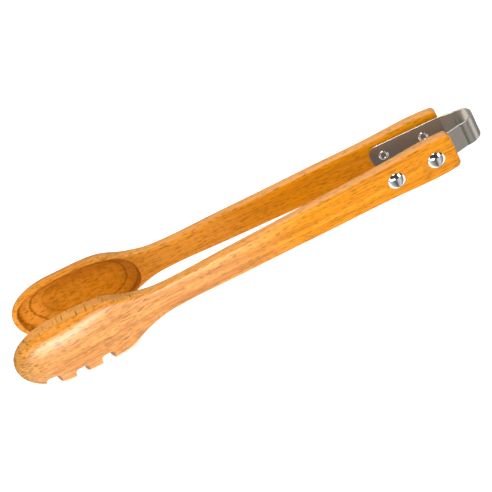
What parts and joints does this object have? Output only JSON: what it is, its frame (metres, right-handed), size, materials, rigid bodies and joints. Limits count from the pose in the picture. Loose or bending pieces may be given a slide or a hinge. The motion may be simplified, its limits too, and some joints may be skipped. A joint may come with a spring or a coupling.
{
  "type": "spring loaded kitchen tongs",
  "caption": "Wooden kitchen tongs: flat arms widen into hollow oval spoons, one with rounded teeth, joined by a bent steel strip that springs them open.",
  "frame": {"origin": "axis of the steel bow, half way up the strip's width", "axes": "+Z along the bow's axis, the spoons lie towards -X, the arms open along Y, the toothed arm at -Y"},
  "size_m": [0.2987, 0.0672, 0.041],
  "materials": {
    "beech": "satin oiled",
    "strip_steel": "brushed",
    "rivet_nickel": "polished"
  },
  "bodies": {
    "rear_arm": {"rear_arm": "beech", "spring_clip": "strip_steel", "rear_rivet_bow_end": "rivet_nickel", "rear_rivet_spoon_end": "rivet_nickel"},
    "front_arm": {"front_arm": "beech", "front_rivet_bow_end": "rivet_nickel", "front_rivet_spoon_end": "rivet_nickel"}
  },
  "joints": [
    {"name": "arm_squeeze", "type": "hinge", "parent": "rear_arm", "child": "front_arm", "pos_m": [0, 0, 0], "axis": [0, 0, -1], "range_deg": [-4, 8.4], "stiffness_Nm_per_rad": 5.8, "deforming": ["spring_clip"]}
  ]
}
